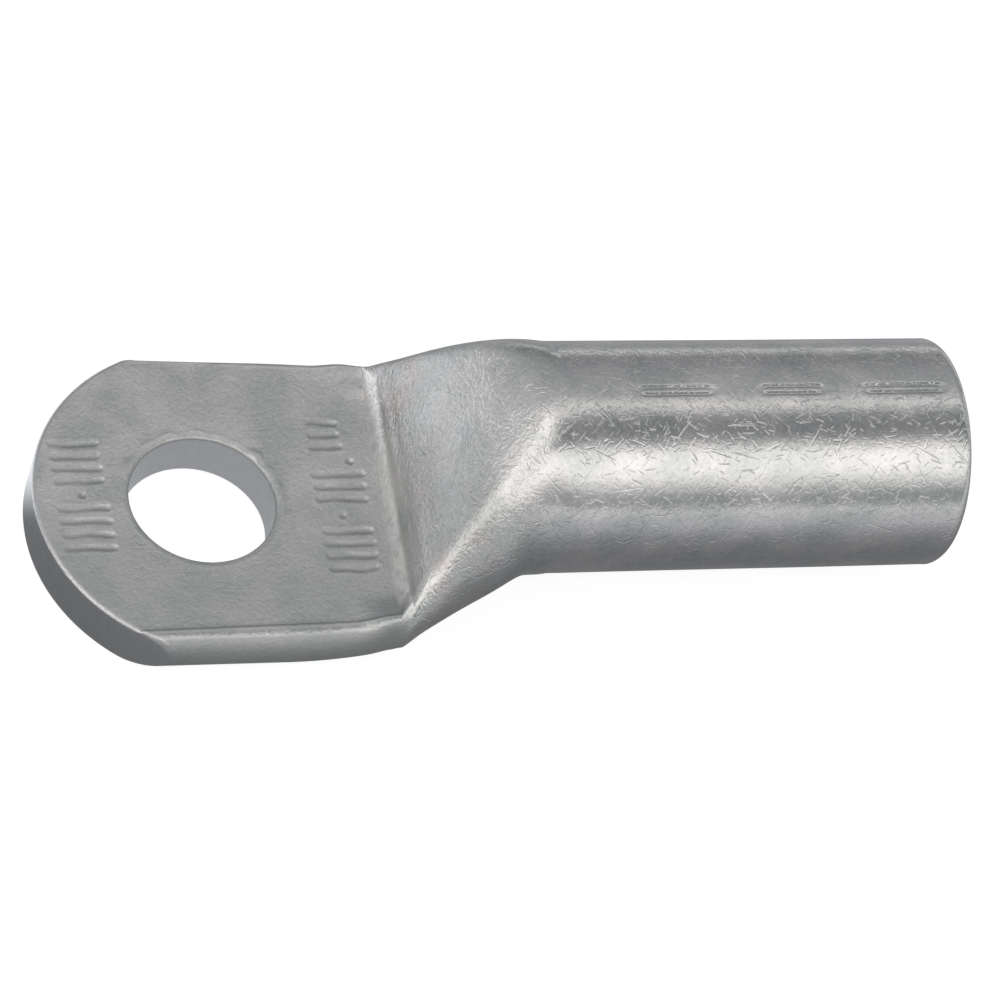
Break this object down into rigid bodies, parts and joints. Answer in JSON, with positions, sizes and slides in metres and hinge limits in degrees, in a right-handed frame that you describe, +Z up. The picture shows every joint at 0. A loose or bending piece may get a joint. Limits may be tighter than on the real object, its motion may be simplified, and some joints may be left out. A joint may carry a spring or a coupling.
{
  "type": "compression lug",
  "caption": "Tinned copper tube for crimping onto a stranded conductor, its end pressed flat into a palm with a bolt hole.",
  "frame": {"origin": "bolt hole centre on the seating face of the palm", "axes": "+X along the barrel to its mouth, +Z up out of the bolt hole from the seating face, +Y across the palm"},
  "size_m": [0.0658, 0.0244, 0.0165],
  "materials": {
    "tinned_metal": "dull silver tin plating over copper, with fine handling scratches"
  },
  "bodies": {
    "root": {"lug": "tinned_metal"}
  },
  "joints": []
}
